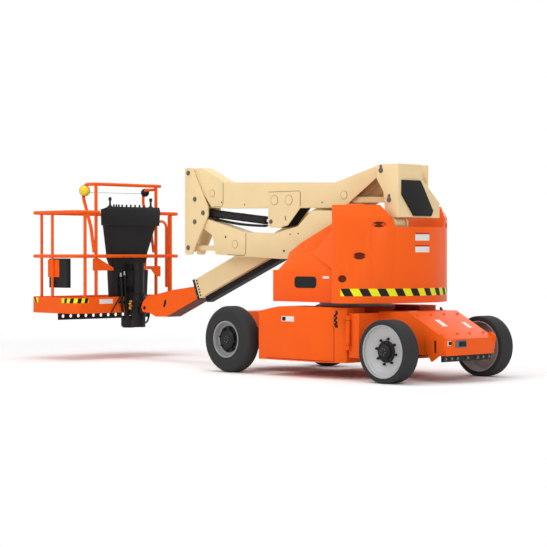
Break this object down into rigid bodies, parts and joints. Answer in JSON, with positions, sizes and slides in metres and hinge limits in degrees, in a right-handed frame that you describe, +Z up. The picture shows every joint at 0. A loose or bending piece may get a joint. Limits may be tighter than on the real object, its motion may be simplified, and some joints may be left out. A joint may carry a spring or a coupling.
{
  "type": "articulating boom lift",
  "caption": "Narrow electric articulating boom lift: wheeled chassis, swinging turntable with tail hood, parallel-link tower, telescoping main boom and levelled work platform.",
  "frame": {"origin": "centre of the bounding box's base, on the ground between the wheels and the platform", "axes": "+X towards the platform, +Y to the machine's left, +Z up"},
  "size_m": [5.53, 1.52, 2.0079],
  "materials": {
    "orange_paint": "gloss enamel",
    "cream_paint": "gloss enamel",
    "orange_moulding": "moulded gloss",
    "black_paint": "satin black",
    "black_plastic": "matt grain",
    "tyre_rubber": "matt rubber",
    "rim_paint": "silver enamel",
    "rod_chrome": "hard chrome",
    "battery": "plain",
    "ballast": "rough casting",
    "ring_steel": "machined"
  },
  "bodies": {
    "chassis": {"chassis_frame": "orange_paint", "slew_ring": "ring_steel", "steer_axle": "black_paint", "nose_tie_down_left": "orange_paint", "nose_tie_down_right": "orange_paint", "drive_tie_down_left": "orange_paint", "drive_tie_down_right": "orange_paint", "nose_guard": "black_paint", "drive_motor_left": "black_paint", "drive_motor_right": "black_paint"},
    "battery_left": {"battery_tray_left": "orange_paint", "battery_pack_left": "battery"},
    "battery_right": {"battery_tray_right": "orange_paint", "battery_pack_right": "battery"},
    "knuckle_left": {"steer_knuckle_left": "black_paint"},
    "knuckle_right": {"steer_knuckle_right": "black_paint"},
    "tie_rod": {"tie_rod": "black_paint"},
    "turntable": {"turntable_frame": "cream_paint", "counterweight": "ballast", "tail_hood": "orange_moulding", "side_cover_left": "orange_moulding", "side_cover_right": "orange_moulding"},
    "lower_boom": {"lower_boom": "cream_paint"},
    "lower_link": {"lower_link": "cream_paint"},
    "front_upright": {"front_upright": "cream_paint"},
    "mid_boom": {"mid_boom": "cream_paint"},
    "mid_link": {"mid_link": "cream_paint"},
    "rear_upright": {"rear_upright": "cream_paint", "rear_cover": "black_plastic"},
    "tower_barrel": {"tower_cylinder_barrel": "black_paint"},
    "tower_rod": {"tower_cylinder_rod": "rod_chrome"},
    "main_boom": {"main_boom": "cream_paint", "boom_wear_ring": "black_plastic", "power_track": "black_plastic"},
    "fly_boom": {"fly_boom": "orange_paint"},
    "lift_barrel": {"lift_cylinder_barrel": "black_paint"},
    "lift_rod": {"lift_cylinder_rod": "rod_chrome"},
    "platform_support": {"platform_support": "black_paint"},
    "platform": {"platform_mount": "black_paint", "platform_floor": "orange_paint", "step_bar": "black_paint", "platform_rails": "orange_paint", "platform_mid_rail": "orange_paint", "guard_frame": "orange_paint", "console": "black_plastic", "console_brackets": "orange_paint", "document_box": "black_plastic"},
    "gate": {"platform_gate": "orange_paint"},
    "drive_wheel_left": {"drive_tyre_left": "tyre_rubber", "drive_rim_left": "rim_paint", "drive_hub_left": "black_paint"},
    "steer_wheel_left": {"steer_tyre_left": "tyre_rubber", "steer_rim_left": "rim_paint", "steer_hub_left": "black_paint"},
    "drive_wheel_right": {"drive_tyre_right": "tyre_rubber", "drive_rim_right": "rim_paint", "drive_hub_right": "black_paint"},
    "steer_wheel_right": {"steer_tyre_right": "tyre_rubber", "steer_rim_right": "rim_paint", "steer_hub_right": "black_paint"}
  },
  "joints": [
    {"name": "battery_left_open", "type": "hinge", "parent": "chassis", "child": "battery_left", "pos_m": [-1.864, 0.632, 0.425], "axis": [0, 0, 1], "range_deg": [0, 90]},
    {"name": "battery_right_open", "type": "hinge", "parent": "chassis", "child": "battery_right", "pos_m": [-1.864, -0.632, 0.425], "axis": [0, 0, -1], "range_deg": [0, 90]},
    {"name": "steer_left", "type": "hinge", "parent": "chassis", "child": "knuckle_left", "pos_m": [-2.379, 0.53, 0.2795], "axis": [0, 0, 1], "range_deg": [-40, 40]},
    {"name": "steer_right", "type": "hinge", "parent": "chassis", "child": "knuckle_right", "pos_m": [-2.379, -0.53, 0.2795], "axis": [0, 0, 1], "range_deg": [-40, 40]},
    {"name": "tie_rod_shift", "type": "slide", "parent": "chassis", "child": "tie_rod", "axis": [0, 1, 0], "range_m": [-0.092, 0.092]},
    {"name": "swing", "type": "hinge", "parent": "chassis", "child": "turntable", "pos_m": [-1.374, 0, 0.687], "axis": [0, 0, 1], "range_deg": [-180, 180]},
    {"name": "tower_lift", "type": "hinge", "parent": "turntable", "child": "lower_boom", "pos_m": [-2.064, 0.205, 1.41], "axis": [0, -1, 0], "range_deg": [0, 68]},
    {"name": "lower_link_turn", "type": "hinge", "parent": "turntable", "child": "lower_link", "pos_m": [-1.964, 0.205, 1.148], "axis": [0, -1, 0], "range_deg": [0, 68]},
    {"name": "front_upright_level", "type": "hinge", "parent": "lower_boom", "child": "front_upright", "pos_m": [0.577, 0.205, 1.459], "axis": [0, 1, 0], "range_deg": [0, 68]},
    {"name": "mid_boom_lift", "type": "hinge", "parent": "front_upright", "child": "mid_boom", "pos_m": [0.676, 0.205, 1.956], "axis": [0, 1, 0], "range_deg": [0, 68]},
    {"name": "mid_link_turn", "type": "hinge", "parent": "front_upright", "child": "mid_link", "pos_m": [0.576, 0.205, 1.688], "axis": [0, 1, 0], "range_deg": [0, 68]},
    {"name": "rear_upright_level", "type": "hinge", "parent": "mid_boom", "child": "rear_upright", "pos_m": [-1.956, 0.205, 1.892], "axis": [0, -1, 0], "range_deg": [0, 68]},
    {"name": "tower_cylinder_turn", "type": "hinge", "parent": "front_upright", "child": "tower_barrel", "pos_m": [0.452, 0.205, 1.547], "axis": [0, 1, 0], "range_deg": [0, 70.2]},
    {"name": "tower_cylinder_stroke", "type": "slide", "parent": "tower_barrel", "child": "tower_rod", "axis": [-0.9947, 0, -0.1031], "range_m": [0, 0.5131]},
    {"name": "main_lift", "type": "hinge", "parent": "rear_upright", "child": "main_boom", "pos_m": [-1.974, 0, 1.88], "axis": [0, -1, 0], "range_deg": [0, 97]},
    {"name": "lift_cylinder_turn", "type": "hinge", "parent": "rear_upright", "child": "lift_barrel", "pos_m": [-1.894, 0, 1.52], "axis": [0, -1, 0], "range_deg": [0, 92.72]},
    {"name": "lift_cylinder_stroke", "type": "slide", "parent": "lift_barrel", "child": "lift_rod", "axis": [0.9516, 0, -0.3074], "range_m": [0, 0.5717]},
    {"name": "fly_extend", "type": "slide", "parent": "main_boom", "child": "fly_boom", "axis": [0.9272, 0, -0.3746], "range_m": [0, 1.65]},
    {"name": "platform_level", "type": "hinge", "parent": "fly_boom", "child": "platform_support", "pos_m": [1.611, 0, 0.56], "axis": [0, 1, 0], "range_deg": [0, 97]},
    {"name": "platform_rotate", "type": "hinge", "parent": "platform_support", "child": "platform", "pos_m": [1.821, 0, 0.87], "axis": [0, 0, 1], "range_deg": [-90, 90]},
    {"name": "gate_open", "type": "hinge", "parent": "platform", "child": "gate", "pos_m": [2.59, -0.741, 1.1], "axis": [0, 0, -1], "range_deg": [0, 90]},
    {"name": "steer_wheel_left_roll", "type": "hinge", "parent": "knuckle_left", "child": "steer_wheel_left", "pos_m": [-2.379, 0.662, 0.2795], "axis": [0, 1, 0], "continuous": true},
    {"name": "drive_wheel_left_roll", "type": "hinge", "parent": "chassis", "child": "drive_wheel_left", "pos_m": [-0.369, 0.66, 0.3175], "axis": [0, 1, 0], "continuous": true},
    {"name": "steer_wheel_right_roll", "type": "hinge", "parent": "knuckle_right", "child": "steer_wheel_right", "pos_m": [-2.379, -0.662, 0.2795], "axis": [0, 1, 0], "continuous": true},
    {"name": "drive_wheel_right_roll", "type": "hinge", "parent": "chassis", "child": "drive_wheel_right", "pos_m": [-0.369, -0.66, 0.3175], "axis": [0, 1, 0], "continuous": true}
  ],
  "couplings": [
    {"joint": "steer_right", "follows": "steer_left", "ratio": 1},
    {"joint": "tie_rod_shift", "follows": "steer_left", "m_per_rad": 0.13},
    {"joint": "lower_link_turn", "follows": "tower_lift", "ratio": 1},
    {"joint": "front_upright_level", "follows": "tower_lift", "ratio": 1},
    {"joint": "mid_boom_lift", "follows": "tower_lift", "ratio": 1},
    {"joint": "mid_link_turn", "follows": "tower_lift", "ratio": 1},
    {"joint": "rear_upright_level", "follows": "tower_lift", "ratio": 1},
    {"joint": "tower_cylinder_turn", "follows": "tower_lift", "ratio": 1.0316},
    {"joint": "tower_cylinder_stroke", "follows": "tower_lift", "m_per_rad": 0.4319},
    {"joint": "lift_cylinder_turn", "follows": "main_lift", "ratio": 0.9554},
    {"joint": "lift_cylinder_stroke", "follows": "main_lift", "m_per_rad": 0.3374},
    {"joint": "platform_level", "follows": "main_lift", "ratio": 1}
  ]
}
